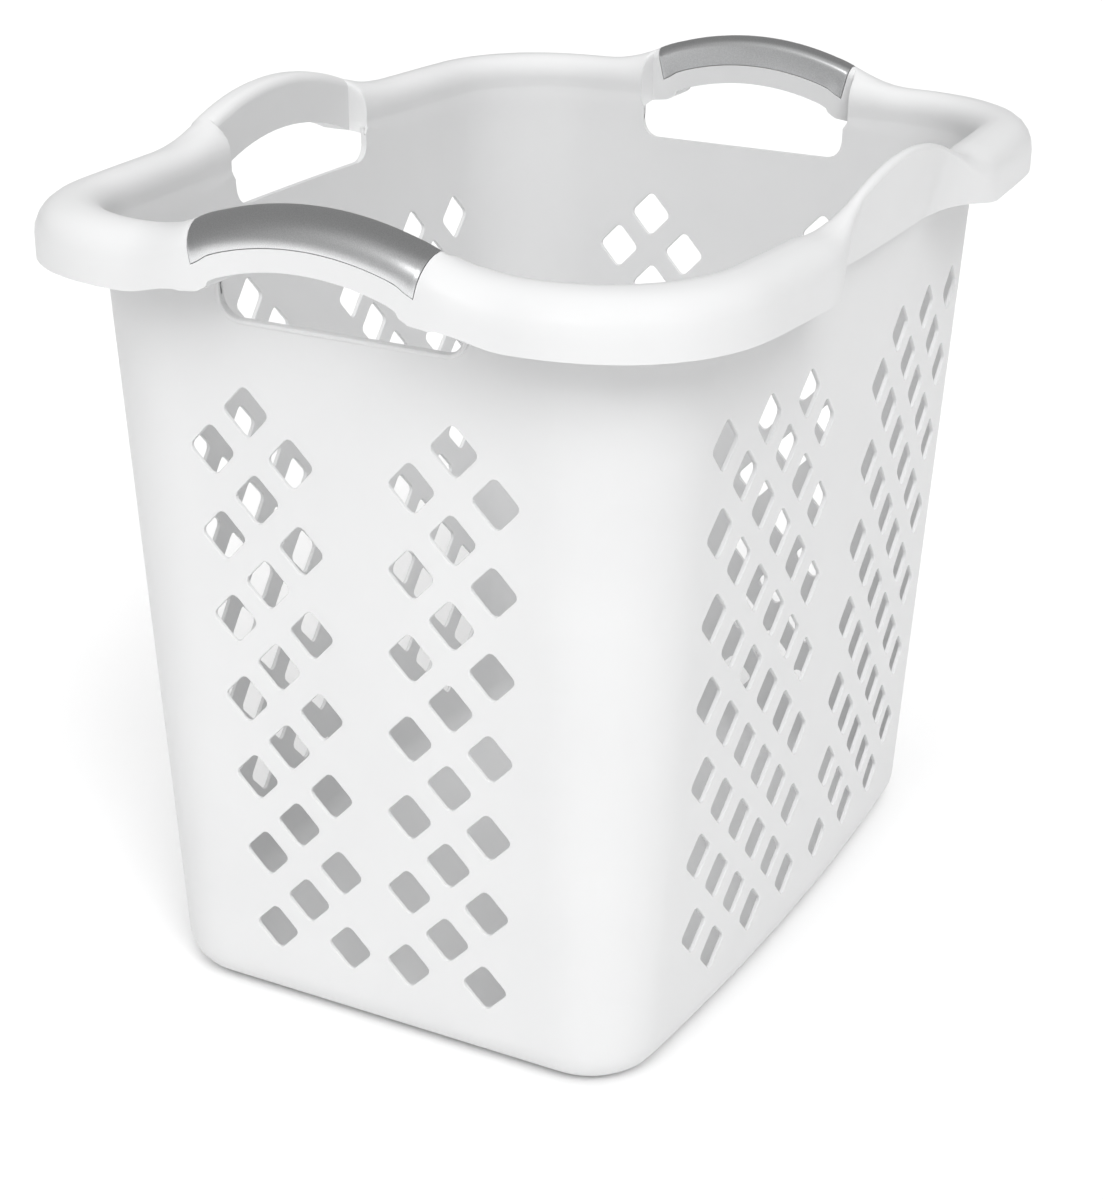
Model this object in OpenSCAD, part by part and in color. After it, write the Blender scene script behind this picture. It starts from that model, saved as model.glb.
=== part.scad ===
// Hip-hold laundry basket: one white moulding, drawn as named sections that meet
// face to face, and two silver grip saddles that are separate pieces.
// +X runs along the length, -Y is the hip side, +Z is up, and Z = 0 is the table.

/* [Walls] */
// Outside length of the walls at the floor
base_l = 432; // [360:1:520]
// Outside width of the walls at the floor, at mid length
base_w = 315; // [260:1:380]
// Height of the rim's crown away from the handles
rim_h = 460; // [400:1:560]
// Outside radius of the upright corners at the floor
corner_r = 43; // [34:1:60]
// Radius of the long walls' outward bow
bow_r = 2300; // [1800:10:4000]
// Lean of every wall from upright, in degrees
draft = 3.32; // [1.5:0.01:4.5]
// Wall thickness
wall = 2.5; // [1.8:0.1:4]
// Floor thickness
floor_t = 2.5; // [1.8:0.1:4]
// Outside radius where the walls turn into the floor
base_r = 23; // [12:1:30]

/* [Rim] */
// Reach of the rim beyond the line of the wall's foot
rim_reach = 56.4; // [46:0.1:70]
// Drop of the rim's skirt below the crown
skirt_drop = 30.5; // [20:0.5:40]
// Radius of the rim's outer top edge
rim_ro = 19; // [10:0.5:22]
// Radius of the rim's inner top edge
rim_ri = 12; // [6:0.5:14]
// Thickness of the rim
rim_t = 2.5; // [1.8:0.1:4]
// Height above the wall's top at which the wall hands over to the rim
rim_join_drop = 20; // [18:1:30]

/* [Handles] */
// Clear width of each hand opening
hand_w = 140; // [100:1:160]
// Rise of the end handles above the rim's crown
arch_rise = 22; // [10:0.5:30]
// Rise of the back handle and the hip crest above the rim's crown
side_arch_rise = 20.5; // [10:0.5:30]
// Radius of the end handles' top
end_arch_r = 180; // [150:1:260]
// Radius of the back handle's top
side_arch_r = 200; // [160:1:300]
// Height of the handle bars, top to underside
bar_h = 29.5; // [20:0.5:34]
// Width of the end handle bars
bar_w = 23; // [23:0.5:30]
// Width of the back handle bar
side_bar_w = 18.5; // [16:0.5:24]
// Reach of the end handle bars beyond the line of the wall's foot
bar_reach = 59; // [50:0.5:72]
// Radius of the bars' inner top edges
bar_ri = 6; // [4:0.5:7]
// Radius of the end bars' outer top edges
bar_ro = 16; // [6:0.5:16]
// Radius of the back bar's outer top edge
side_bar_ro = 9; // [4:0.5:9]
// Drop from the rim's crown to the end openings' lower edge
end_hole_drop = 46; // [40:1:60]
// Drop from the rim's crown to the back opening's lower edge
side_hole_drop = 41; // [36:1:60]
// Radius of the hand openings' lower corners
hole_round = 11; // [4:1:20]

/* [Grips] */
// Bare length of the bar beside each end of a grip
grip_bare = 3; // [1:0.5:10]
// Depth of the grips, from the top down each side
grip_depth = 18; // [12:0.5:20]
// Thickness of the grips
grip_t = 2.2; // [1.5:0.1:3]
// Clearance round a grip's edges in its seat
grip_gap = 0.15; // [0.05:0.01:0.4]

/* [Diamond openings] */
// Upright pitch of the diamonds
pitch = 48; // [40:0.5:56]
// Spacing of the columns in a group
column_w = 24; // [22:0.1:27]
// Width of a diamond, corner to corner
diamond_w = 26; // [16:0.5:28]
// Height of a diamond, corner to corner
diamond_h = 27; // [18:0.5:30]
// Radius of a diamond's corners
diamond_r = 3.6; // [1:0.1:5]
// Rows of diamonds in each column
rows = 7; // [3:1:7]
// Drop from the rim's crown to the centres of the top row
top_row_drop = 96.6; // [90:0.1:110]
// Middle of each end wall's group at the floor line, from the middle of the wall
end_group = 40; // [36:0.5:46]
// Middle of each long wall's group at the floor line, from the middle of the wall
side_group = 82; // [78:0.5:90]

/* [Hidden] */
$fn = 48;
lean = tan(draft);
// Middles of the corner arcs
corner_x = base_l/2 - corner_r;
bow_in = sqrt(pow(bow_r - corner_r, 2) - corner_x*corner_x);
corner_y = base_w/2 - (bow_r - bow_in);
far_y = base_w/2 - bow_r;
bow_a = asin(corner_x/(bow_r - corner_r));
// Heights
join_z = rim_h - rim_join_drop;
flare_z = rim_h - 60;
skirt_z = rim_h - skirt_drop;
arch_z = rim_h + arch_rise;
side_arch_z = rim_h + side_arch_rise;
end_hole_z = rim_h - end_hole_drop;
side_hole_z = rim_h - side_hole_drop;
top_row_z = rim_h - top_row_drop;
end_axis_z = arch_z - end_arch_r;
side_axis_z = side_arch_z - side_arch_r;
// Middle of the turn between wall and floor, and where it meets each of them
turn_d = base_r*(sin(draft) - 1)/cos(draft);
turn_top = base_r*(1 - sin(draft));
// Handle bars
plate_t = rim_t;
// Outer top radius of the rim where it meets the back handle's narrower bar
side_rim_ro = 15;
half_hole = hand_w/2;
wing_start = half_hole + plate_t;
rim_in = lean*(rim_h - rim_ri) - wall;
hip_mid = 60;
hip_fade = 118;
// Grip ends: the height at which a grip has its full length, and the lean of its ends
grip_end_z = rim_h + 8;
grip_taper = 0.25;
grip_l = hand_w - 2*grip_bare;
// How far cutting shapes run past what they cut
past = 20;

function mix(a, b, t) = a + (b - a)*t;
function smooth(t) = let (c = max(0, min(1, t))) c*c*(3 - 2*c);

// Height of an arch's top at a distance u from its middle: an arc over the handle,
// then a smooth run down to the crown of the rim.
function arc_z(u, axis_z, r) = axis_z + sqrt(r*r - u*u);
function run_z(u, axis_z, r, u0, u1) =
    let (t = min(1, (u - u0)/(u1 - u0)), slope = -u0/sqrt(r*r - u0*u0))
    (2*t*t*t - 3*t*t + 1)*arc_z(u0, axis_z, r) + (t*t*t - 2*t*t + t)*(u1 - u0)*slope
    + (3*t*t - 2*t*t*t)*rim_h;
function crest_z(u, axis_z, r, u1) =
    u <= wing_start ? arc_z(u, axis_z, r) : run_z(u, axis_z, r, wing_start, u1);

// A rim section is two chains of [reach, height] points, the skin and the same skin
// moved in by the rim's thickness: p = [join height, inner reach, outer reach,
// crown height, skirt height, skirt reach, inner radius, outer radius, thickness].
function arc(d, z, r, a0, a1, n) = [for (i = [0:n]) let (a = mix(a0, a1, i/n)) [d + r*cos(a), z + r*sin(a)]];
function chain(p, t) = concat(
    [[lean*p[0] - wall + t, p[0]]],
    arc(p[1] + p[6], p[3] - p[6], p[6] - t, 180, 90, 4),
    arc(p[2] - p[7], p[3] - p[7], p[7] - t, 90, 0, 5),
    [[p[5] - t, p[4]]]);

// A closed sheet through a list of stations, each with a skin and a lining of equal length.
module sheet(skins, linings) {
    n = len(skins);
    m = len(skins[0]);
    function at(side, i, j) = side*n*m + i*m + j;
    function quad(a, b, c, d) = [[a, b, c], [a, c, d]];
    points = [for (chains = [skins, linings], s = chains, q = s) q];
    skin = [for (i = [0:n - 2], j = [0:m - 2])
        each quad(at(0, i, j), at(0, i + 1, j), at(0, i + 1, j + 1), at(0, i, j + 1))];
    lining = [for (i = [0:n - 2], j = [0:m - 2])
        each quad(at(1, i, j), at(1, i, j + 1), at(1, i + 1, j + 1), at(1, i + 1, j))];
    foot = [for (i = [0:n - 2]) each quad(at(0, i, 0), at(1, i, 0), at(1, i + 1, 0), at(0, i + 1, 0))];
    hem = [for (i = [0:n - 2])
        each quad(at(0, i, m - 1), at(0, i + 1, m - 1), at(1, i + 1, m - 1), at(1, i, m - 1))];
    start = [for (j = [0:m - 2]) each quad(at(0, 0, j), at(0, 0, j + 1), at(1, 0, j + 1), at(1, 0, j))];
    end = [for (j = [0:m - 2])
        each quad(at(0, n - 1, j), at(1, n - 1, j), at(1, n - 1, j + 1), at(0, n - 1, j + 1))];
    polyhedron(points, concat(skin, lining, foot, hem, start, end), convexity = 6);
}

// Places of a station's points in space: along a corner, an end and a long side.
function corner_points(a, c) =
    [for (q = c) [corner_x + (corner_r + q[0])*cos(a), corner_y + (corner_r + q[0])*sin(a), q[1]]];
function end_points(y, c) = [for (q = c) [base_l/2 + q[0], y, q[1]]];
function side_turn(x) = bow_a*smooth((x - wing_start)/(corner_x - wing_start));
function side_points(x, c) =
    let (a = side_turn(x), b = asin(x/bow_r))
    [for (q = c) [bow_r*sin(b) + q[0]*sin(a), far_y + bow_r*cos(b) + q[0]*cos(a), q[1]]];

// Rim sections along one end, one plain long side and the hip side, from the handle outwards.
wing_p = [join_z, rim_in, rim_reach, rim_h, skirt_z, rim_reach, rim_ri, rim_ro];
bar_hem = 6.3;
function end_p(y) = let (w = smooth((corner_y - y)/(corner_y - wing_start)))
    [join_z, rim_in, mix(rim_reach, bar_reach, w), crest_z(y, end_axis_z, end_arch_r, corner_y),
     skirt_z + bar_hem*w, mix(rim_reach, bar_reach, w), rim_ri, rim_ro];
function back_p(x) = let (w = smooth((hip_fade - x)/(hip_fade - wing_start)))
    [join_z, rim_in, mix(rim_reach, side_reach, w), crest_z(x, side_axis_z, side_arch_r, hip_fade),
     skirt_z + bar_hem*w, mix(rim_reach, side_reach, w), rim_ri, mix(rim_ro, side_rim_ro, w)];
crest_in = 36.5;
crest_out = 43;
crest_round = 3.1;
crest_hem = 31.5;
crest_lip = 3;
crest_sweep = 0.3;
function hip_p(x) = let (w = smooth((hip_fade - x)/(hip_fade - hip_mid)))
    [flare_z, mix(rim_in, crest_in, w), mix(rim_reach, crest_out, w),
     crest_z(x, side_axis_z, side_arch_r, hip_fade), skirt_z, mix(rim_reach, crest_hem, w),
     mix(rim_ri, crest_round, w), mix(rim_ro, crest_round, w)];

// The back bar reaches as far out as the hip side's rim does, so that Y = 0 is mid width.
function hip_outer(x) = far_y + bow_r*cos(asin(x/bow_r)) + hip_p(x)[2]*cos(side_turn(x));
side_reach = max([for (x = long_stations(hip_mid)) hip_outer(x)]) - base_w/2;

module plastic() color([0.93, 0.93, 0.93]) children();
module silver() color([0.66, 0.67, 0.68]) children();
module left() mirror([1, 0, 0]) children();
module front() mirror([0, 1, 0]) children();

// The wall's cross-section: [reach, height], with the turn into the floor.
module wall_section(top) {
    polygon([
        [turn_d + base_r*cos(draft), turn_top],
        [lean*top, top],
        [lean*top - wall, top],
        [turn_d + (base_r - wall)*cos(draft), base_r - (base_r - wall)*sin(draft)]]);
    translate([turn_d, base_r]) intersection() {
        difference() {
            circle(base_r, $fn = 96);
            circle(base_r - wall, $fn = 96);
        }
        polygon([[0, 0], [0, -2*base_r], [2*base_r*cos(draft), -2*base_r],
                 [2*base_r*cos(draft), -2*base_r*sin(draft)]]);
    }
}

// A diamond with rounded corners, as a 12-sided outline.
module diamond() {
    a = diamond_w/2 - diamond_r;
    b = diamond_h/2 - diamond_r;
    n = atan2(a, b);
    tips = [[a, 0, 0], [0, b, 90], [-a, 0, 180], [0, -b, 270]];
    polygon([for (i = [0:3], k = [-1:1]) let (h = (i % 2 == 0 ? n : 90 - n))
        [tips[i][0] + diamond_r*cos(tips[i][2] + k*h), tips[i][1] + diamond_r*sin(tips[i][2] + k*h)]]);
}

// A wall's diamonds, flat: two groups of columns, mirrored about the middle.
// Odd columns counted from the outside of a long wall's group sit half a pitch lower.
module diamonds(group, columns, first_high) {
    for (side = [-1, 1], c = [0:columns - 1], k = [0:rows - 1]) {
        low = (c + first_high) % 2;
        z = top_row_z - pitch*(k + low/2);
        u = group + lean*z + (c - (columns - 1)/2)*column_w;
        translate([side*u, z]) diamond();
    }
}

// A hand opening's lower part, flat, running up past the wall's top.
module hand_hole(z) {
    top = rim_h + arch_rise;
    translate([-half_hole, z + hole_round]) square([hand_w, top - z - hole_round]);
    translate([-half_hole + hole_round, z]) square([hand_w - 2*hole_round, hole_round + 1]);
    for (s = [-1, 1]) translate([s*(half_hole - hole_round), z + hole_round]) circle(hole_round);
}

module end_wall() {
    difference() {
        translate([base_l/2, corner_y, 0]) rotate([90, 0, 0])
            linear_extrude(2*corner_y) wall_section(join_z);
        translate([base_l/2 - past, 0, 0]) rotate([90, 0, 90]) linear_extrude(rim_reach + past) {
            diamonds(end_group, 3, 1);
            hand_hole(end_hole_z);
        }
    }
}

module long_wall(top, open) {
    difference() {
        translate([0, far_y, 0]) rotate([0, 0, 90 - bow_a])
            rotate_extrude(angle = 2*bow_a, $fn = 256) translate([bow_r, 0]) wall_section(top);
        translate([0, base_w/2 - 2*past, 0]) rotate([90, 0, 180]) linear_extrude(rim_reach + 2*past) {
            diamonds(side_group, 6, 1);
            if (open) hand_hole(side_hole_z);
        }
    }
}

module corner() {
    translate([corner_x, corner_y, 0])
        rotate_extrude(angle = 90 - bow_a, $fn = 96) translate([corner_r, 0]) wall_section(join_z);
}

module floor_plate() {
    r = corner_r + turn_d;
    tangent_x = corner_x + r*sin(bow_a);
    linear_extrude(floor_t) {
        intersection() {
            bowed_floor();
            square([2*tangent_x, base_w], center = true);
        }
        square([base_l + 2*turn_d, 2*corner_y], center = true);
        for (x = [-1, 1], y = [-1, 1]) translate([x*corner_x, y*corner_y]) circle(r, $fn = 96);
    }
}

// The floor between the two bowed long walls.
module bowed_floor() {
    intersection() {
        translate([0, far_y]) circle(bow_r + turn_d, $fn = 720);
        translate([0, -far_y]) circle(bow_r + turn_d, $fn = 720);
    }
}

module rim_corner() {
    steps = 9;
    angles = [for (i = [0:steps]) (90 - bow_a)*i/steps];
    sheet([for (a = angles) corner_points(a, chain(wing_p, 0))],
          [for (a = angles) corner_points(a, chain(wing_p, rim_t))]);
}

module end_rim() {
    steps = 6;
    ys = [for (i = [0:steps]) mix(wing_start, corner_y, i/steps)];
    sheet([for (y = ys) end_points(y, chain(end_p(y), 0))],
          [for (y = ys) end_points(y, chain(end_p(y), rim_t))]);
}

function long_stations(x0) = [for (x = [x0:8:hip_fade]) x];
foot_x = bow_r*sin(bow_a);

module back_rim() {
    xs = concat(long_stations(wing_start), [hip_fade, foot_x]);
    sheet([for (i = [len(xs) - 1:-1:0]) side_points(xs[i], chain(back_p(xs[i]), 0))],
          [for (i = [len(xs) - 1:-1:0]) side_points(xs[i], chain(back_p(xs[i]), rim_t))]);
}

module hip_rim() {
    xs = concat(long_stations(hip_mid), [hip_fade, foot_x]);
    sheet([for (i = [len(xs) - 1:-1:0]) side_points(xs[i], chain(hip_p(xs[i]), 0))],
          [for (i = [len(xs) - 1:-1:0]) side_points(xs[i], chain(hip_p(xs[i]), rim_t))]);
}

module crest() {
    xs = [for (x = [-hip_mid:8:hip_mid]) x];
    foot = lean*flare_z;
    function z(x) = arc_z(abs(x), side_axis_z, side_arch_r);
    function inner(x) = [
        [foot - wall, flare_z],
        [mix(foot - wall, crest_in, crest_sweep), mix(flare_z, z(x), 0.5)],
        [crest_in, z(x) - crest_lip],
        [crest_in + crest_lip, z(x)]];
    function outer(x) = [
        [foot, flare_z],
        [crest_hem, skirt_z],
        [crest_out, z(x) - crest_lip],
        [crest_out - crest_lip, z(x)]];
    sheet([for (i = [len(xs) - 1:-1:0]) straight_points(xs[i], inner(xs[i]))],
          [for (i = [len(xs) - 1:-1:0]) straight_points(xs[i], outer(xs[i]))]);
}
function straight_points(x, c) =
    let (b = asin(x/bow_r)) [for (q = c) [x, far_y + bow_r*cos(b) + q[0], q[1]]];

// What a rounded edge of radius r takes off a square one.
module edge_cut(r) {
    difference() {
        square(r + 1);
        circle(r, $fn = 64);
    }
}

// A bar's outline across its arch, moved in by cut: [distance from the arch's axis, reach].
module bar_outline(r, reach, width, ro, cut) {
    top = r - cut;
    inner = reach - width + cut;
    outer = reach - cut;
    difference() {
        translate([r - bar_h, inner]) square([top - r + bar_h, outer - inner]);
        translate([top - ro + cut, outer - ro + cut]) edge_cut(ro - cut);
        translate([top - bar_ri + cut, inner + bar_ri - cut]) mirror([0, 1]) edge_cut(bar_ri - cut);
    }
}
module end_outline(cut) bar_outline(end_arch_r, bar_reach, bar_w, bar_ro, cut);

// Turns an outline about a handle arch's axis, which lies along X at height z.
module around_arch(z, angle) {
    translate([0, 0, z]) rotate([0, 90, 0]) rotate([0, 0, 180 - angle/2])
        rotate_extrude(angle = angle, $fn = 96) children();
}
function arch_sweep(r) = 2*asin(wing_start/(r - bar_h));

// A handle bar with the plates that close the rim's ends beside it. The plates stand
// on the wall's top and against its outer face.
module arch_bar(r, axis_z, reach, foot, ro) {
    intersection() {
        translate([foot, 0, 0]) around_arch(axis_z, arch_sweep(r)) children();
        translate([foot, -half_hole, 0]) cube([2*reach, hand_w, 2*rim_h]);
    }
    plate_z = arc_z(wing_start, axis_z, r);
    hem_z = skirt_z + bar_hem;
    for (s = [0, 1]) mirror([0, s, 0]) translate([foot, wing_start, 0]) rotate([90, 0, 0])
        linear_extrude(plate_t) polygon(concat(
            [[lean*hem_z, hem_z], [lean*join_z, join_z], [lean*join_z - wall, join_z]],
            arc(rim_in + rim_ri, plate_z - rim_ri, rim_ri, 180, 90, 4),
            arc(reach - ro, plate_z - ro, ro, 90, 0, 5),
            [[reach, hem_z]]));
}

// The shell of a bar that its grip takes up, with a gap all round its edges.
module grip_shell(skin, gap) {
    function half(z) = grip_l/2 + gap + (z - grip_end_z)*grip_taper;
    intersection() {
        around_arch(end_axis_z, arch_sweep(end_arch_r)) difference() {
            end_outline(-skin);
            end_outline(grip_t);
            translate([end_arch_r - bar_h - past, 0])
                square([bar_h - grip_depth - gap + past, 2*bar_reach]);
        }
        rotate([90, 0, 90]) linear_extrude(2*bar_reach) polygon([
            [-half(join_z), join_z],
            [half(join_z), join_z],
            [half(arch_z + past), arch_z + past],
            [-half(arch_z + past), arch_z + past]]);
    }
}

module end_handle_bar() {
    difference() {
        arch_bar(end_arch_r, end_axis_z, bar_reach, base_l/2, rim_ro) end_outline(0);
        translate([base_l/2, 0, 0]) grip_shell(1, grip_gap);
    }
}

module grip() translate([base_l/2, 0, 0]) grip_shell(0, 0);

module back_bar() {
    rotate([0, 0, 90]) arch_bar(side_arch_r, side_axis_z, side_reach, base_w/2, side_rim_ro)
        bar_outline(side_arch_r, side_reach, side_bar_w, side_bar_ro, 0);
}

plastic() floor_plate();  // floor
plastic() left() end_wall();  // left_end_wall
plastic() end_wall();  // right_end_wall
plastic() front() long_wall(flare_z, false);  // hip_wall
plastic() long_wall(join_z, true);  // back_wall
plastic() left() front() corner();  // corner_front_left
plastic() front() corner();  // corner_front_right
plastic() left() corner();  // corner_back_left
plastic() corner();  // corner_back_right
plastic() left() front() rim_corner();  // rim_corner_front_left
plastic() front() rim_corner();  // rim_corner_front_right
plastic() left() rim_corner();  // rim_corner_back_left
plastic() rim_corner();  // rim_corner_back_right
plastic() left() front() end_rim();  // left_rim_front
plastic() left() end_rim();  // left_rim_back
plastic() front() end_rim();  // right_rim_front
plastic() end_rim();  // right_rim_back
plastic() left() back_rim();  // back_rim_left
plastic() back_rim();  // back_rim_right
plastic() left() front() hip_rim();  // hip_rim_left
plastic() front() crest();  // hip_crest
plastic() front() hip_rim();  // hip_rim_right
plastic() left() end_handle_bar();  // left_handle_bar
plastic() end_handle_bar();  // right_handle_bar
plastic() back_bar();  // back_handle_bar
silver() left() grip();  // left_grip
silver() grip();  // right_grip
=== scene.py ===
import math

import bpy
from mathutils import Matrix, Vector


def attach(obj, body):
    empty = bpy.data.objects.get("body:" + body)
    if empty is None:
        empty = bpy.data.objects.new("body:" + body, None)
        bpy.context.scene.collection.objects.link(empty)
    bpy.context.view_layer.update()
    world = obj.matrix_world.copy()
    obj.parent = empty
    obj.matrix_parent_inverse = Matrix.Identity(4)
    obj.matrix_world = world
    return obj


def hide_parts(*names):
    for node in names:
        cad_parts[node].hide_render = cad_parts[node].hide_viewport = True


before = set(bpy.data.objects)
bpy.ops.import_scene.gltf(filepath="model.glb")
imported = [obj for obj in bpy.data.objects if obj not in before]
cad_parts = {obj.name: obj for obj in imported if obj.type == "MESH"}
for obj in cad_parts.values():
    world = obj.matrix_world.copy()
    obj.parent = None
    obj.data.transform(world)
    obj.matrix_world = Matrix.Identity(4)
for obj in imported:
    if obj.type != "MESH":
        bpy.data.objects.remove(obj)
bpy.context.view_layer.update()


# ---------------------------------------------------------------- camera
# Looks down a little at the near end and along the hip side.
MM = 0.001
CAMERA_AT, CAMERA_LENS, CAMERA_SENSOR, CAMERA_REACH = (-1.1984, -0.6232, 0.7606), 72.81, 36, 20
turn = math.radians(-62.1677)
tip = math.radians(23.1123)
roll = math.radians(0.4589)
back = Vector((math.sin(turn) * math.cos(tip), -math.cos(turn) * math.cos(tip), math.sin(tip)))
level = Vector((math.cos(turn), math.sin(turn), 0))
rise = back.cross(level)
right = math.cos(roll) * level + math.sin(roll) * rise
up = -math.sin(roll) * level + math.cos(roll) * rise
bpy.ops.object.camera_add()
camera = bpy.context.active_object
camera.data.lens = CAMERA_LENS
camera.data.sensor_width = CAMERA_SENSOR
camera.data.clip_end = CAMERA_REACH
line_of_sight = Matrix((right, up, back)).transposed().to_4x4()
camera.matrix_world = Matrix.Translation(CAMERA_AT) @ line_of_sight
bpy.context.scene.camera = camera


# ---------------------------------------------------------------- basket
# The whole basket is one thin white polypropylene moulding: floor, leaning walls,
# rolled rim, handle bars and the flared hip side. It is made as one sheet, from the
# floor's edge up the inside, over the rim and down its skirt, then given its wall.
HALF_L, HALF_W = 216.0, 157.5
CORNER_R, BOW_R = 43.0, 2300.0
LEAN_DEG = 3.32
LEAN = math.tan(math.radians(LEAN_DEG))
WALL, FLOOR, FOOT_R = 2.5, 2.5, 23.0
RIM_Z, JOIN_Z, FLARE_Z, SKIRT_Z = 460.0, 440.0, 400.0, 429.5
RIM_REACH, RIM_RI, RIM_RO = 56.4, 12.0, 19.0
HOLE_HALF, WING, HOLE_R = 70.0, 72.5, 11.0
CORNER_X = HALF_L - CORNER_R
CORNER_Y = HALF_W - BOW_R + math.sqrt((BOW_R - CORNER_R) ** 2 - CORNER_X ** 2)
BOW_A = math.asin(CORNER_X / (BOW_R - CORNER_R))
RIM_IN = LEAN * (RIM_Z - RIM_RI) - WALL
HIP_MID, HIP_FADE = 60.0, 118.0
HIP_IN, HIP_OUT, HIP_R, HIP_SKIRT, HIP_LIP = 36.5, 43.0, 3.1, 31.5, 4.0
HIP_CURVE = 1.7                      # how late the wall sweeps out to the hip's lip
RIM_SETTLE = 46.0                    # the wall leans plainly up to this far below the rim
RIM_RI_AT_BAR, MELT_FROM, SWEEP_FROM = 17.0, 92.0, 96.0
SKIRT_LIFT = 6.3                     # the skirt ends this much higher beside a bar
SQUARE, SQUARE_OVER = 4.0, 25.0      # how much squarer the rim's corner is than the wall's
RIM_FACE = 2.0                       # the least upright face below the rim's inner arc

# handle bars: radius of the top, height of its axis, reach, width, inner and outer top
# radii, height of the hand opening's lower edge, end of the run-down, rim radius beside it
END_BAR = dict(r=180.0, axis=302.0, reach=59.0, width=23.0, ri=6.0, ro=16.0,
               hole=414.0, fade=CORNER_Y, rim_ro=16.0)
BACK_BAR = dict(r=200.0, axis=280.5, reach=53.4, width=18.5, ri=6.0, ro=9.0,
                hole=419.0, fade=HIP_FADE, rim_ro=11.0)
BAR_H = 29.5

# the grips and their seats in the end bars: depth down each side, thickness, half length,
# the height where they have that length, and how much their ends lean; then where along
# the bar the lean comes in and goes out, and the width of the step at a seat's edge
GRIP_DEPTH, GRIP_T, GRIP_HALF, GRIP_Z, GRIP_TAPER = 18.0, 2.2, 67.0, 468.0, 0.25
SLANT_FROM, SLANT_OVER, SLANT_END = 50.0, 13.0, 2.9
STEP = 0.15


def mix(a, b, t):
    """From a at 0 to b at 1."""
    return a + (b - a) * t


def smooth(t):
    """From 0 to 1 with a level start and end."""
    t = max(0.0, min(1.0, t))
    return t * t * (3 - 2 * t)


def arch(a, bar, below=0.0):
    """Height of a bar's arch at a from its middle, or of one concentric with it below."""
    return bar["axis"] + math.sqrt((bar["r"] - below) ** 2 - a * a)


def crown(u, bar):
    """Height of the rim's crown, u from the middle of a side that has this arch."""
    if u <= WING:
        return arch(u, bar)
    run = bar["fade"] - WING
    t = min(1.0, (u - WING) / run)
    slope = -WING / math.sqrt(bar["r"] ** 2 - WING ** 2)
    start = (2 * t ** 3 - 3 * t * t + 1) * arch(WING, bar)
    return start + (t ** 3 - 2 * t * t + t) * run * slope + (3 * t * t - 2 * t ** 3) * RIM_Z


def arc(reach, z, r, a0, a1, n):
    """Points round a centre at this reach and height, from angle a0 to a1 in degrees."""
    angles = [math.radians(mix(a0, a1, i / n)) for i in range(n + 1)]
    return [(reach + r * math.cos(a), z + r * math.sin(a)) for a in angles]


# how many steps each stretch of the section takes, and where the foot's turn ends
FOOT_N, WALL_N, SWEEP_N, FACE_N, ARC_N, SKIRT_N = 6, 30, 6, 4, 6, 4
TURN_D = FOOT_R * (math.sin(math.radians(LEAN_DEG)) - 1) / math.cos(math.radians(LEAN_DEG))
TURN_TOP = FOOT_R * (1 - math.sin(math.radians(LEAN_DEG)))


def leaning(z0, z1, steps):
    """Points of the wall's inner face at heights between z0 and z1."""
    return [(LEAN * z - WALL, z) for z in [mix(z0, z1, t) for t in steps]]


SWEEP_STEPS = [i / SWEEP_N for i in range(1, SWEEP_N)]


def foot_and_wall(top):
    """From the floor's edge round the foot and up the wall's inner face."""
    r = FOOT_R - WALL
    angles = [math.radians(mix(-90, -LEAN_DEG, i / FOOT_N)) for i in range(FOOT_N)]
    foot = [(TURN_D + r * math.cos(a), FOOT_R + r * math.sin(a)) for a in angles]
    return foot + leaning(TURN_TOP, top, [i / WALL_N for i in range(WALL_N + 1)])


def lip(inner, outer, z, ri, ro, z0, z1, out_reach):
    """Up the inner face from z0, over the crown and down the skirt to z1."""
    over_in = arc(inner + ri, z - ri, ri, 180, 90, ARC_N)
    over_out = arc(outer - ro, z - ro, ro, 90, 0, ARC_N)
    face = [(inner, mix(z0, z - ri, i / FACE_N)) for i in range(FACE_N)]
    skirt = [(mix(outer, out_reach, i / SKIRT_N), mix(z - ro, z1, i / SKIRT_N))
             for i in range(1, SKIRT_N + 1)]
    return face + over_in + over_out + skirt


def plain(u, bar):
    """The rim beside a handle or round a corner, u from the middle of its side."""
    near_bar = smooth((SWEEP_FROM - u) / (SWEEP_FROM - WING))
    top = mix(RIM_Z - RIM_SETTLE, bar["hole"] + HOLE_R, near_bar)
    w = smooth((bar["fade"] - u) / (bar["fade"] - WING))
    outer = mix(RIM_REACH, bar["reach"], w)
    z = crown(u, bar)
    # the inner top edge opens up towards the bar, so that it melts into the bar's crown
    ri = mix(RIM_RI, RIM_RI_AT_BAR, smooth((MELT_FROM - u) / (MELT_FROM - WING)))
    ro = mix(RIM_RO, bar["rim_ro"], w)
    start = min(JOIN_Z, z - ri - RIM_FACE)
    return (foot_and_wall(top) + leaning(top, start, SWEEP_STEPS)
            + lip(RIM_IN, outer, z, ri, ro, start, SKIRT_Z + SKIRT_LIFT * w, outer))


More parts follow.
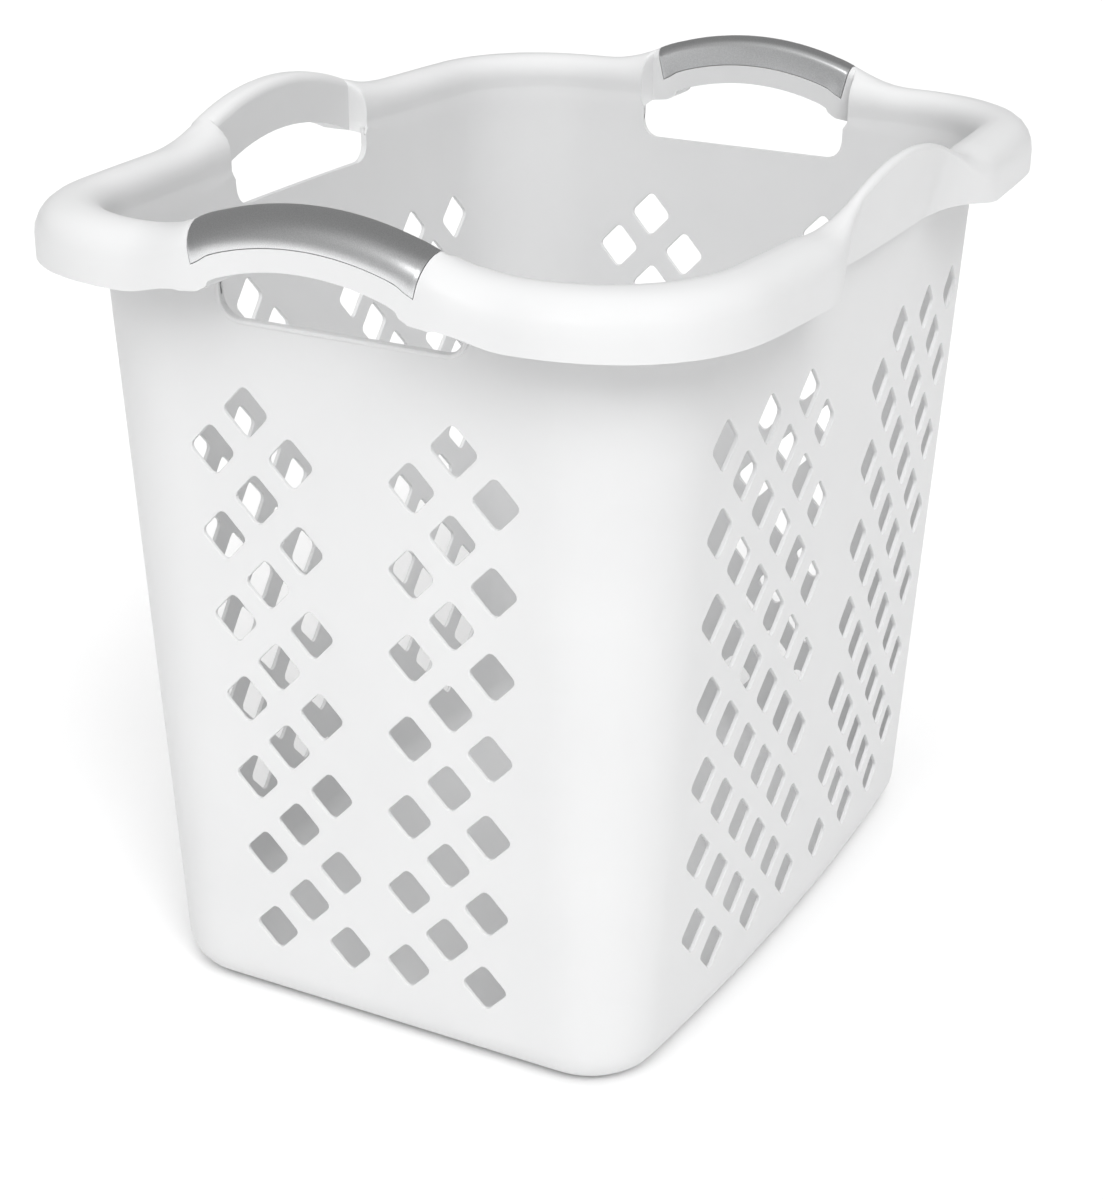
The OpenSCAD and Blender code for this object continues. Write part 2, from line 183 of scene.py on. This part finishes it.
def handle(u, bar, cut=0.0):
    """A hand opening with the bar over it. cut is the depth of a grip's seat in the bar."""
    a = abs(u)
    corner = max(0.0, a - (HOLE_HALF - HOLE_R))
    low = bar["hole"] + HOLE_R - math.sqrt(max(0.0, HOLE_R ** 2 - corner ** 2))
    foot, seat, top = arch(a, bar, BAR_H), arch(a, bar, GRIP_DEPTH), crown(a, bar)
    inner, outer = bar["reach"] - bar["width"], bar["reach"]
    ri, ro = bar["ri"] - cut, bar["ro"] - cut
    half_way = mix(foot, seat, 0.5)
    return (foot_and_wall(low) + leaning(low, foot, SWEEP_STEPS)
            + [(inner, foot), (inner, half_way), (inner, seat - STEP), (inner + cut, seat)]
            + arc(inner + cut + ri, top - cut - ri, ri, 180, 90, ARC_N)
            + arc(outer - cut - ro, top - cut - ro, ro, 90, 0, ARC_N)
            + [(outer - cut, seat), (outer, seat - STEP), (outer, half_way), (outer, foot)])


def hip(u):
    """The flared side without a handle: a thin lip on a concave sweep of the wall."""
    z = arch(u, BACK_BAR)
    foot, rise_to = LEAN * FLARE_Z - WALL, z - HIP_R - HIP_LIP
    sweep = [(mix(foot, HIP_IN - 1.0, t ** HIP_CURVE), mix(FLARE_Z, rise_to, t)) for t in SWEEP_STEPS]
    return (foot_and_wall(FLARE_Z) + sweep
            + lip(HIP_IN, HIP_OUT, z, HIP_R, HIP_R, rise_to, SKIRT_Z, HIP_SKIRT))


def hip_side(u):
    """The flared lip, turning into the plain rim towards the corners."""
    w = smooth((HIP_FADE - u) / (HIP_FADE - HIP_MID))
    return [(mix(p[0], h[0], w), mix(p[1], h[1], w)) for p, h in zip(plain(u, BACK_BAR), hip(u))]


def spread(a, b, step):
    """Evenly from a, about a step apart, up to but not including b."""
    n = max(1, round((b - a) / step))
    return [mix(a, b, i / n) for i in range(n)]


def even(half, end):
    """The same stations spread evenly from the middle to the end of a wall."""
    return {u: end * i / (len(half) - 1) for i, u in enumerate(half)}


# distances of the sections from a side's middle, closer together round an opening's end
end_half = [0] + spread(6, 54, 6) + [54, 57, 59, 61, 63, 65, GRIP_HALF, GRIP_HALF + STEP, 68.2, 69.2]
end_half += [HOLE_HALF, WING] + spread(75, CORNER_Y, 6) + [CORNER_Y]
side_half = [0] + spread(8, 56, 8) + [56, 59, 62, 64.5, 66.4, 67.6, 68.6, 69.4]
side_half += [HOLE_HALF, WING] + spread(76, CORNER_X, 7) + [CORNER_X]
END_EVEN, SIDE_EVEN = even(end_half, CORNER_Y), even(side_half, CORNER_X)
SETTLE_FROM, SETTLE_OVER = 375.0, 25.0

# foot point at a height, outward direction, section, is it over a hand opening, slant of
# a grip's end
stations = []


def settle(z):
    """0 low on a wall, 1 from just under the hand openings upwards."""
    return smooth((z - SETTLE_FROM) / SETTLE_OVER)


def slant_at(y):
    """How far a grip's end leans here, 0 in its middle and 1 at its end."""
    return smooth((abs(y) - SLANT_FROM) / SLANT_OVER)


def end_station(y, s):
    """The section at y along the end s."""
    cut = GRIP_T if abs(y) <= GRIP_HALF else 0.0
    over = abs(y) <= HOLE_HALF
    rows = handle(y, END_BAR, cut) if over else plain(abs(y), END_BAR)
    slant = math.copysign(slant_at(y) * smooth((HOLE_HALF - abs(y)) / SLANT_END), y)
    low = math.copysign(END_EVEN[abs(y)], y)

    def foot(z):
        return s * HALF_L, mix(low, y, settle(z))
    stations.append((foot, (s, 0.0), rows, over, slant))


def bow(x):
    """Half width of the foot at x along a bowed long side."""
    return HALF_W - BOW_R + math.sqrt(BOW_R ** 2 - x * x)


def long_station(x, s):
    """The section at x along the long side s, turning outwards towards the corners."""
    out = math.copysign(BOW_A * smooth((abs(x) - WING) / (CORNER_X - WING)), x)
    low = math.copysign(SIDE_EVEN[abs(x)], x)
    # the foot follows the bow, which ends where the corner's arc begins
    end_x = BOW_R * math.sin(BOW_A)

    def foot(z):
        at = mix(low, x, settle(z))
        if abs(x) > WING:
            at = at * end_x / CORNER_X
        return at, s * bow(at)
    over = s > 0 and abs(x) <= HOLE_HALF
    if over:
        rows = handle(x, BACK_BAR)
    else:
        rows = plain(abs(x), BACK_BAR) if s > 0 else hip_side(abs(x))
    stations.append((foot, (math.sin(out), s * math.cos(out)), rows, over, 0.0))


CORNER_N = 15


def corner_stations(sx, sy, backwards):
    """The sections round one corner, between its end and its long side."""
    steps = [i / CORNER_N for i in range(1, CORNER_N)]
    for t in reversed(steps) if backwards else steps:
        a = (math.pi / 2 - BOW_A) * t
        p = (sx * (CORNER_X + CORNER_R * math.cos(a)), sy * (CORNER_Y + CORNER_R * math.sin(a)))
        d = (sx * math.cos(a), sy * math.sin(a))
        square = SQUARE * math.sin(2 * a) ** 2
        rows = [(q + square * smooth((q - RIM_IN - RIM_FACE) / SQUARE_OVER), z)
                for q, z in plain(2 * CORNER_X, BACK_BAR)]
        stations.append((lambda z, p=p: p, d, rows, False, 0.0))


for y in [-v for v in reversed(end_half)] + end_half[1:]:
    end_station(y, 1)
corner_stations(1, 1, False)
for x in sorted(side_half[1:] + [-v for v in side_half], reverse=True):
    long_station(x, 1)
corner_stations(-1, 1, True)
for y in sorted(end_half[1:] + [-v for v in end_half], reverse=True):
    end_station(y, -1)
corner_stations(-1, -1, False)
for x in [-v for v in reversed(side_half)] + side_half[1:]:
    long_station(x, -1)
corner_stations(1, -1, True)
stations.append(stations[0])

WELD, SLACK = 0.02 * MM, 0.05 * MM   # points this near are one; this near the floor's edge
rows_n = len(stations[0][2])
bar_row = FOOT_N + WALL_N + 1 + SWEEP_N - 1      # the first row of the inner face
hole_row = FOOT_N + WALL_N                        # the hand opening's lower edge
columns = len(stations) - 1

bpy.ops.object.select_all(action="DESELECT")
bpy.ops.mesh.primitive_grid_add(x_subdivisions=columns, y_subdivisions=rows_n, size=2)
basket = bpy.context.active_object
basket.name = "basket"
mesh = basket.data


def grid_place(co):
    """Which station and which row a point of the flat grid stands for."""
    return (co.x + 1) / 2 * columns, (co.y + 1) / 2 * rows_n


drop = set()
for face in mesh.polygons:
    i, j = grid_place(face.center)
    i, j = int(i), int(j)
    over = stations[i][3] and stations[i + 1][3]
    # nothing hangs in the opening, and only a bar is closed underneath
    if (over and hole_row <= j < bar_row) or (not over and j == rows_n - 1):
        drop.add(face.index)
for vertex in mesh.vertices:
    i, j = (round(v) for v in grid_place(vertex.co))
    foot_at, (dx, dy), rows, over, slant = stations[i]
    reach, z = rows[j] if j < rows_n else (rows[bar_row] if over else rows[-1])
    px, py = foot_at(z)
    if j >= bar_row:
        py += slant * GRIP_TAPER * (z - GRIP_Z)
    vertex.co = ((px + reach * dx) * MM, (py + reach * dy) * MM, z * MM)
bpy.ops.object.mode_set(mode="EDIT")
bpy.ops.mesh.select_mode(type="FACE")
bpy.ops.mesh.select_all(action="DESELECT")
bpy.ops.object.mode_set(mode="OBJECT")
for face in mesh.polygons:
    face.select = face.index in drop
bpy.ops.object.mode_set(mode="EDIT")
bpy.ops.mesh.delete(type="FACE")
bpy.ops.mesh.select_mode(type="VERT")
bpy.ops.mesh.select_all(action="SELECT")
bpy.ops.mesh.remove_doubles(threshold=WELD)
# close the floor: its edge is the lowest open loop
bpy.ops.mesh.select_all(action="DESELECT")
bpy.ops.object.mode_set(mode="OBJECT")
for vertex in mesh.vertices:
    vertex.select = vertex.co.z < FLOOR * MM + SLACK
bpy.ops.object.mode_set(mode="EDIT")
bpy.ops.mesh.edge_face_add()
bpy.ops.mesh.select_all(action="SELECT")
bpy.ops.mesh.normals_make_consistent(inside=False)
bpy.ops.object.mode_set(mode="OBJECT")
floor_face = min(mesh.polygons, key=lambda f: f.center.z)
if floor_face.normal.z < 0:
    mesh.flip_normals()


def apply(piece, name, kind, **values):
    """Gives a piece one modifier with these values and applies it."""
    m = piece.modifiers.new(name, kind)
    for key, value in values.items():
        setattr(m, key, value)
    bpy.ops.object.select_all(action="DESELECT")
    bpy.context.view_layer.objects.active = piece
    piece.select_set(True)
    bpy.ops.object.modifier_apply(modifier=name)


apply(basket, "wall", "SOLIDIFY", thickness=WALL * MM, offset=-1, use_even_offset=True)


# ---------------------------------------------------------------- diamond openings
# The walls are pierced by upright diamonds with rounded corners, in staggered columns.
# Each is cut by a core whose mouths flare where they meet the wall's two faces, which
# rounds the edges of the opening as a mould does.
PITCH, COLUMN, ROWS = 48.0, 24.0, 7
DIAMOND_W, DIAMOND_H, DIAMOND_R = 26.0, 27.0, 3.6
TOP_DROP = 96.6                      # the top row of diamonds is this far below the rim
TOP_ROW = RIM_Z - TOP_DROP
PER_CORNER = 4                       # points that round each corner of a diamond
SIDES = 4 * PER_CORNER
SOFT, PAST_IN, PAST_OUT = 0.5, 4.0, 4.0
EASE = 0.29 * SOFT                   # a quarter circle's depth at its middle
SHARP = math.radians(50)             # edges sharper than this stay sharp

# rings of a core: distance from the wall's outer face, growth of the outline
RINGS = [(-WALL - PAST_IN, SOFT), (-WALL, SOFT), (-WALL + EASE, EASE), (-WALL + SOFT, 0.0),
         (-SOFT, 0.0), (-EASE, EASE), (0.0, SOFT), (PAST_OUT, SOFT)]


def diamond_point(k, grow):
    """Point k of a diamond's outline, with its rounded corners made larger by grow."""
    a, b = DIAMOND_W / 2 - DIAMOND_R, DIAMOND_H / 2 - DIAMOND_R
    n = math.atan2(a, b)
    corner, along = divmod(k, PER_CORNER)
    at = ((a, 0), (0, b), (-a, 0), (0, -b))[corner]
    half = n if corner % 2 == 0 else math.pi / 2 - n
    angle = math.radians(90 * corner) + half * (-1 + 2 / (PER_CORNER - 1) * along)
    return at[0] + (DIAMOND_R + grow) * math.cos(angle), at[1] + (DIAMOND_R + grow) * math.sin(angle)


def end_face(s):
    """Places a point on the end s: along it, its height, its distance out of the face."""
    return lambda u, z, out: (s * (HALF_L + LEAN * z + out), u, z)


def long_face(s):
    """The same on the long side s, which is bowed."""
    return lambda u, z, out: (u, s * (bow(u) + LEAN * z + out), z)


# each wall: its face, how far the middle of a group of diamonds is from the wall's middle
# at the floor, and the group's columns
PIERCED = ((end_face(-1), 40.0, 3), (end_face(1), 40.0, 3),
           (long_face(-1), 82.0, 6), (long_face(1), 82.0, 6))

bpy.ops.object.select_all(action="DESELECT")
bpy.ops.mesh.primitive_grid_add(x_subdivisions=SIDES, y_subdivisions=len(RINGS) - 1, size=2)
blank = bpy.context.active_object
for v in blank.data.vertices:
    turn_at = math.pi * (v.co.x + 1)
    v.co = (math.cos(turn_at), math.sin(turn_at), round((v.co.y + 1) / 2 * (len(RINGS) - 1)))
bpy.ops.object.mode_set(mode="EDIT")
bpy.ops.mesh.select_all(action="SELECT")
bpy.ops.mesh.remove_doubles(threshold=0.001)
bpy.ops.mesh.fill_holes(sides=SIDES)
bpy.ops.mesh.select_all(action="SELECT")
bpy.ops.mesh.normals_make_consistent(inside=False)
bpy.ops.object.mode_set(mode="OBJECT")

cores = []
for face, group, count in PIERCED:
    for side in (-1, 1):
        for c in range(count):
            for k in range(ROWS):
                z = TOP_ROW - PITCH * (k + ((c + 1) % 2) / 2)
                u = side * (group + LEAN * z + (c - (count - 1) / 2) * COLUMN)
                core = blank.copy()
                core.data = blank.data.copy()
                bpy.context.collection.objects.link(core)
                for v in core.data.vertices:
                    out, grow = RINGS[round(v.co.z)]
                    turned = math.atan2(v.co.y, v.co.x) / (2 * math.pi)
                    p, q = diamond_point(round(turned * SIDES) % SIDES, grow)
                    v.co = [w * MM for w in face(u + p, z + q, out)]
                cores.append(core)
bpy.data.objects.remove(blank, do_unlink=True)
bpy.ops.object.select_all(action="DESELECT")
for core in cores:
    core.select_set(True)
bpy.context.view_layer.objects.active = cores[0]
bpy.ops.object.join()
cutter = bpy.context.active_object
bpy.ops.object.mode_set(mode="EDIT")
bpy.ops.mesh.select_all(action="SELECT")
bpy.ops.mesh.normals_make_consistent(inside=False)
bpy.ops.object.mode_set(mode="OBJECT")
apply(basket, "cores", "BOOLEAN", object=cutter, operation="DIFFERENCE", solver="MANIFOLD")
bpy.data.objects.remove(cutter, do_unlink=True)
bpy.ops.object.select_all(action="DESELECT")
bpy.context.view_layer.objects.active = basket
basket.select_set(True)
bpy.ops.object.shade_smooth_by_angle(angle=SHARP)


# ---------------------------------------------------------------- opening flanges
# A narrow flange, moulded with the basket, stands proud of the wall's outside round the
# lower part of each hand opening and stiffens its edge.
FLANGE_W, FLANGE_OUT, FLANGE_ROOT = 2.6, 1.6, -1.0
FLANGE_SOFT_IN, FLANGE_SOFT_OUT = 0.5, 0.7
FLANGE_UP, FLANGE_MID, FLANGE_DRAFT, FLANGE_TURN_N = 9.0, 30.0, 0.1, 8


def flange(sx, sy, bar):
    """One flange, on the end sx or else on the long side sy, below this bar."""
    low, r = bar["hole"], HOLE_R
    angles = [math.radians(90 * i / FLANGE_TURN_N) for i in range(FLANGE_TURN_N + 1)]
    # path: place along the wall, height, and the direction away from the opening
    round_off = [(HOLE_HALF - r + r * math.sin(a), low + r - r * math.cos(a), math.sin(a), -math.cos(a))
                 for a in angles]
    half = [(0.0, low, 0.0, -1.0), (FLANGE_MID, low, 0.0, -1.0)] + round_off
    half.append((HOLE_HALF, low + r + FLANGE_UP, 1.0, 0.0))
    path = [(-u, z, -nu, nz) for u, z, nu, nz in reversed(half)] + half[1:]
    # section: distance away from the opening, height above the wall's outer face
    section = [(0.0, FLANGE_ROOT), (0.0, FLANGE_OUT - FLANGE_SOFT_IN), (FLANGE_SOFT_IN, FLANGE_OUT),
               (FLANGE_W - FLANGE_SOFT_OUT, FLANGE_OUT), (FLANGE_W, FLANGE_OUT - FLANGE_SOFT_OUT),
               (FLANGE_W + FLANGE_DRAFT, FLANGE_ROOT)]
    rows_up, along = len(section), len(path) - 1
    bpy.ops.object.select_all(action="DESELECT")
    bpy.ops.mesh.primitive_grid_add(x_subdivisions=along, y_subdivisions=rows_up, size=2)
    piece = bpy.context.active_object
    for v in piece.data.vertices:
        i, j = round((v.co.x + 1) / 2 * along), round((v.co.y + 1) / 2 * rows_up) % rows_up
        u, z, nu, nz = path[i]
        away, out = section[j]
        u, z = u + away * nu, z + away * nz
        reach = LEAN * z + out
        if sx:
            v.co = (sx * (HALF_L + reach) * MM, u * MM, z * MM)
        else:
            v.co = (u * MM, sy * (bow(u) + reach) * MM, z * MM)
    bpy.ops.object.mode_set(mode="EDIT")
    bpy.ops.mesh.select_all(action="SELECT")
    bpy.ops.mesh.remove_doubles(threshold=WELD)
    bpy.ops.mesh.fill_holes(sides=rows_up)
    bpy.ops.mesh.select_all(action="SELECT")
    bpy.ops.mesh.normals_make_consistent(inside=False)
    bpy.ops.object.mode_set(mode="OBJECT")
    bpy.ops.object.shade_smooth_by_angle(angle=SHARP)
    return piece


flanges = [flange(-1, 0, END_BAR), flange(1, 0, END_BAR), flange(0, 1, BACK_BAR)]
bpy.ops.object.select_all(action="DESELECT")
for piece in flanges + [basket]:
    piece.select_set(True)
bpy.context.view_layer.objects.active = basket
bpy.ops.object.join()
apply(basket, "even shading", "WEIGHTED_NORMAL", keep_sharp=True)

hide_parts(*[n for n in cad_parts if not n.endswith("_grip")])
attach(basket, "root")


# White moulded polypropylene: satin, faintly uneven from the mould, never quite flat.
white = bpy.data.materials.new("white_polypropylene")
white.use_nodes = True
nodes, links = white.node_tree.nodes, white.node_tree.links
shader = nodes["Principled BSDF"]
shader.inputs["IOR"].default_value = 1.49
place = nodes.new("ShaderNodeTexCoord")
cloud = nodes.new("ShaderNodeTexNoise")
cloud.inputs["Scale"].default_value = 9
cloud.inputs["Detail"].default_value = 3
links.new(place.outputs["Object"], cloud.inputs["Vector"])
tint = nodes.new("ShaderNodeValToRGB")
tint.color_ramp.elements[0].position, tint.color_ramp.elements[1].position = 0.3, 0.7
tint.color_ramp.elements[0].color = (0.695, 0.697, 0.70, 1)
tint.color_ramp.elements[1].color = (0.72, 0.722, 0.724, 1)
links.new(cloud.outputs["Fac"], tint.inputs["Fac"])
links.new(tint.outputs["Color"], shader.inputs["Base Color"])
gloss = nodes.new("ShaderNodeMapRange")
gloss.inputs["To Min"].default_value, gloss.inputs["To Max"].default_value = 0.36, 0.46
links.new(cloud.outputs["Fac"], gloss.inputs["Value"])
links.new(gloss.outputs["Result"], shader.inputs["Roughness"])
peel = nodes.new("ShaderNodeTexNoise")
peel.inputs["Scale"].default_value = 700
links.new(place.outputs["Object"], peel.inputs["Vector"])
bump = nodes.new("ShaderNodeBump")
bump.inputs["Strength"].default_value = 0.06
bump.inputs["Distance"].default_value = 0.0004
links.new(peel.outputs["Fac"], bump.inputs["Height"])
links.new(bump.outputs["Normal"], shader.inputs["Normal"])
basket.data.materials.clear()
basket.data.materials.append(white)


# ---------------------------------------------------------------- grips
# Two saddles of silver-painted plastic that sit over the end bars, flush in their seats,
# with a hair-thin gap all round. Each is one thin wrapped wall, open underneath.
GAP, GRIP_SOFT = 0.25, 0.25
# the rows of the bar's section that a grip wraps
GRIP_FIRST, GRIP_LAST = bar_row + 3, rows_n - SKIRT_N


def grip(s):
    """The grip of the end s, wrapped over its bar from seat to seat."""
    half = [0] + spread(4, 60, 4) + [60, 62, 64, GRIP_HALF - GAP]
    across = [-y for y in reversed(half)] + half[1:]
    count, length = GRIP_LAST - GRIP_FIRST, len(across) - 1
    bpy.ops.object.select_all(action="DESELECT")
    bpy.ops.mesh.primitive_grid_add(x_subdivisions=length, y_subdivisions=count, size=2)
    piece = bpy.context.active_object
    for v in piece.data.vertices:
        i, j = round((v.co.x + 1) / 2 * length), round((v.co.y + 1) / 2 * count)
        y = across[i]
        reach, z = handle(y, END_BAR)[GRIP_FIRST + j]
        if j in (0, count):
            z += GAP
        slant = math.copysign(slant_at(y), y)
        v.co = (s * (HALF_L + reach) * MM, (y + slant * GRIP_TAPER * (z - GRIP_Z)) * MM, z * MM)
    bpy.ops.object.mode_set(mode="EDIT")
    bpy.ops.mesh.select_all(action="SELECT")
    bpy.ops.mesh.remove_doubles(threshold=WELD)
    bpy.ops.object.mode_set(mode="OBJECT")
    top = max(piece.data.polygons, key=lambda f: f.center.z)
    if top.normal.z < 0:
        piece.data.flip_normals()
    apply(piece, "wall", "SOLIDIFY", thickness=(GRIP_T - GAP) * MM, offset=-1, use_even_offset=True)
    apply(piece, "soft edges", "BEVEL", width=GRIP_SOFT * MM, segments=2, limit_method="ANGLE",
          angle_limit=SHARP)
    bpy.ops.object.shade_smooth_by_angle(angle=math.radians(35))
    return piece


left_saddle, right_saddle = grip(-1), grip(1)
for saddle, node in ((left_saddle, "left_grip"), (right_saddle, "right_grip")):
    saddle.name = node.replace("grip", "grip_saddle")
    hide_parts(node)
    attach(saddle, "root")

# Satin silver paint on moulded plastic, with a very fine metallic grain.
silver = bpy.data.materials.new("satin_silver")
silver.use_nodes = True
nodes, links = silver.node_tree.nodes, silver.node_tree.links
shader = nodes["Principled BSDF"]
place = nodes.new("ShaderNodeTexCoord")
grain = nodes.new("ShaderNodeTexNoise")
grain.inputs["Scale"].default_value = 1800
links.new(place.outputs["Object"], grain.inputs["Vector"])
shade = nodes.new("ShaderNodeValToRGB")
shade.color_ramp.elements[0].position, shade.color_ramp.elements[1].position = 0.35, 0.65
shade.color_ramp.elements[0].color = (0.67, 0.675, 0.68, 1)
shade.color_ramp.elements[1].color = (0.77, 0.775, 0.78, 1)
links.new(grain.outputs["Fac"], shade.inputs["Fac"])
links.new(shade.outputs["Color"], shader.inputs["Base Color"])
shader.inputs["Metallic"].default_value = 1.0
shader.inputs["Roughness"].default_value = 0.3
for saddle in (left_saddle, right_saddle):
    saddle.data.materials.clear()
    saddle.data.materials.append(silver)


# ---------------------------------------------------------------- floor and light
# A plain pale floor with soft light from above, a wide sun over the near corner and a
# small lamp at the near end. Of the lamps only the small one shows in reflections.
bpy.ops.object.select_all(action="DESELECT")
bpy.ops.mesh.primitive_plane_add(size=14, location=(0, 0, 0))
ground = bpy.context.active_object
ground.name = "ground"
paper = bpy.data.materials.new("pale_paper")
paper.use_nodes = True
shader = paper.node_tree.nodes["Principled BSDF"]
shader.inputs["Base Color"].default_value = (0.95, 0.95, 0.95, 1)
shader.inputs["Roughness"].default_value = 0.9
ground.data.materials.append(paper)

world = bpy.context.scene.world or bpy.data.worlds.new("studio")
bpy.context.scene.world = world
world.use_nodes = True
sky = world.node_tree
# a bright studio towards the near end, a dark one behind the object
heading = sky.nodes.new("ShaderNodeTexCoord")
facing = sky.nodes.new("ShaderNodeVectorMath")
facing.operation = "DOT_PRODUCT"
facing.inputs[1].default_value = (-0.86, -0.36, 0.36)
sky.links.new(heading.outputs["Generated"], facing.inputs[0])
glow = sky.nodes.new("ShaderNodeMapRange")
glow.interpolation_type = "SMOOTHSTEP"
glow.inputs["From Min"].default_value, glow.inputs["From Max"].default_value = 0.42, 0.82
glow.inputs["To Min"].default_value, glow.inputs["To Max"].default_value = 0.28, 0.58
sky.links.new(facing.outputs["Value"], glow.inputs["Value"])
sky.links.new(glow.outputs["Result"], sky.nodes["Background"].inputs["Strength"])
sky.nodes["Background"].inputs["Color"].default_value = (1, 1, 1, 1)
bpy.context.scene.view_settings.view_transform = "Standard"

# kind, name, place it shines from, spread, power, seen in reflections
LAMPS = (("SUN", "ceiling", (0.1, 0.1, 3.0), math.radians(90), 1.5, False),
         ("SUN", "key", (-1.3, -1.1, 1.9), math.radians(30), 1.5, False),
         ("AREA", "near", (-1.95, -0.12, 1.5), 0.5, 4.5, True))
AIM = Vector((0, 0, 0.25))
for kind, name, where, spread_of, power, seen in LAMPS:
    bpy.ops.object.light_add(type=kind, location=where)
    lamp = bpy.context.active_object
    lamp.name = name
    if kind == "SUN":
        lamp.data.angle = spread_of
    else:
        lamp.data.size = spread_of
    lamp.data.energy = power
    lamp.visible_glossy = seen
    lamp.rotation_euler = (AIM - Vector(where)).to_track_quat("-Z", "Y").to_euler()
